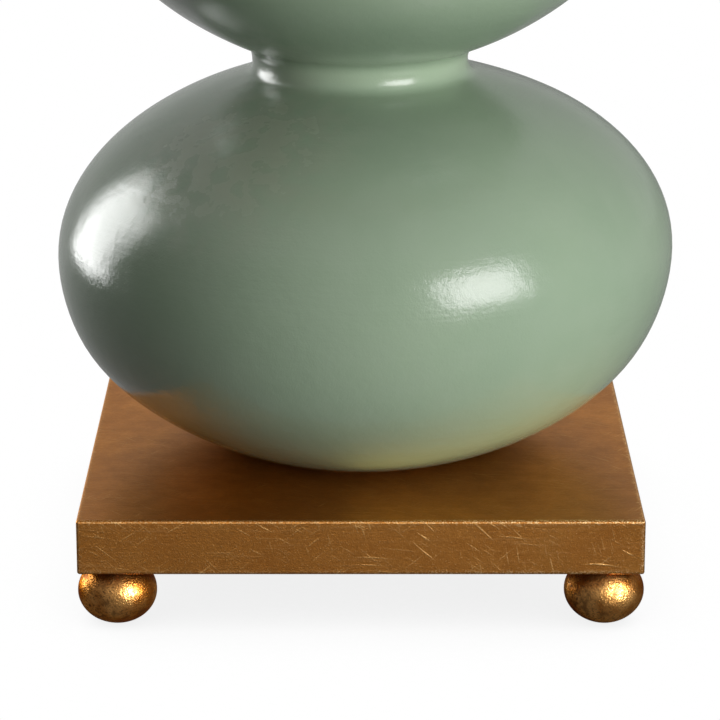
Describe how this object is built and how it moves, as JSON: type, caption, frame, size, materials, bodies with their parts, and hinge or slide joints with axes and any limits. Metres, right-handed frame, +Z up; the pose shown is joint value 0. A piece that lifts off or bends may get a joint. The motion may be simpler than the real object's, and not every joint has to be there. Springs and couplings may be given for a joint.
{
  "type": "table lamp",
  "caption": "Table lamp with a stacked-gourd glazed ceramic body on a square gilded plinth with ball feet, harp and hardback empire shade.",
  "frame": {"origin": "on the lamp's vertical axis, on the surface that the feet stand on", "axes": "+Z up, the front faces -Y, the cord inlet is in the back edge, towards +Y; the harp lies in the XZ plane"},
  "size_m": [0.4077, 0.4078, 0.7354],
  "materials": {
    "gilt_plinth": "gold leaf over gesso, satin, rubbed",
    "gilt_feet": "burnished antique gold leaf",
    "glaze": "glossy sage-green glaze",
    "brass": "polished, lacquered",
    "harp_wire": "plated wire, satin",
    "steel": "zinc plated",
    "felt": "dark felt",
    "gasket": "matte",
    "bushing": "moulded, brown",
    "insulator": "fibre",
    "core": "moulded phenolic",
    "contact_metal": "rolled, plain",
    "shade_wire": "plated wire",
    "shade_lining": "white styrene",
    "shade_cloth": "off-white linen weave",
    "shade_tape": "self-colour folded tape"
  },
  "bodies": {
    "root": {"foot_front_left": "gilt_feet", "foot_front_right": "gilt_feet", "foot_back_left": "gilt_feet", "foot_back_right": "gilt_feet", "foot_studs": "steel", "plinth": "gilt_plinth", "base_felt": "felt", "cord_bushing": "bushing", "lamp_pipe": "steel", "base_washer": "steel", "base_nut": "steel", "seat_gasket": "gasket", "gourd_body": "glaze", "cap_gasket": "gasket", "vase_cap": "brass", "neck_spacer": "brass", "neck_ring": "brass", "harp_saddle": "brass", "socket_cap": "brass", "socket_set_screw": "brass", "socket_shell": "brass", "socket_insulator": "insulator", "socket_core": "core", "screw_shell": "contact_metal", "centre_contact": "contact_metal", "terminal_screws": "steel"},
    "switch": {"switch_spindle": "steel", "switch_knob": "brass"},
    "harp": {"harp": "harp_wire"},
    "ferrule_left": {"ferrule_left": "brass"},
    "ferrule_right": {"ferrule_right": "brass"},
    "harp_stud": {"harp_stud": "brass"},
    "shade": {"shade_spider": "shade_wire", "shade_bottom_ring": "shade_wire", "shade_liner": "shade_lining", "shade_fabric": "shade_cloth", "shade_top_trim": "shade_tape", "shade_bottom_trim": "shade_tape"},
    "finial": {"finial": "brass"}
  },
  "joints": [
    {"name": "switch_turn", "type": "hinge", "parent": "root", "child": "switch", "pos_m": [0, -0.0201, 0.50885], "axis": [0, -1, 0], "continuous": true},
    {"name": "harp_lift", "type": "slide", "parent": "root", "child": "harp", "axis": [0, 0, 1], "range_m": [0, 0.025]},
    {"name": "ferrule_left_slide", "type": "slide", "parent": "harp", "child": "ferrule_left", "axis": [0, 0, 1], "range_m": [0, 0.0145]},
    {"name": "ferrule_right_slide", "type": "slide", "parent": "harp", "child": "ferrule_right", "axis": [0, 0, 1], "range_m": [0, 0.0145]},
    {"name": "stud_swivel", "type": "hinge", "parent": "harp", "child": "harp_stud", "pos_m": [0, 0, 0.7071], "axis": [0, 0, 1], "continuous": true},
    {"name": "shade_lift", "type": "slide", "parent": "harp_stud", "child": "shade", "axis": [0, 0, 1], "range_m": [0, 0.02]},
    {"name": "finial_lift", "type": "slide", "parent": "shade", "child": "finial", "axis": [0, 0, 1], "range_m": [0, 0.03]}
  ]
}
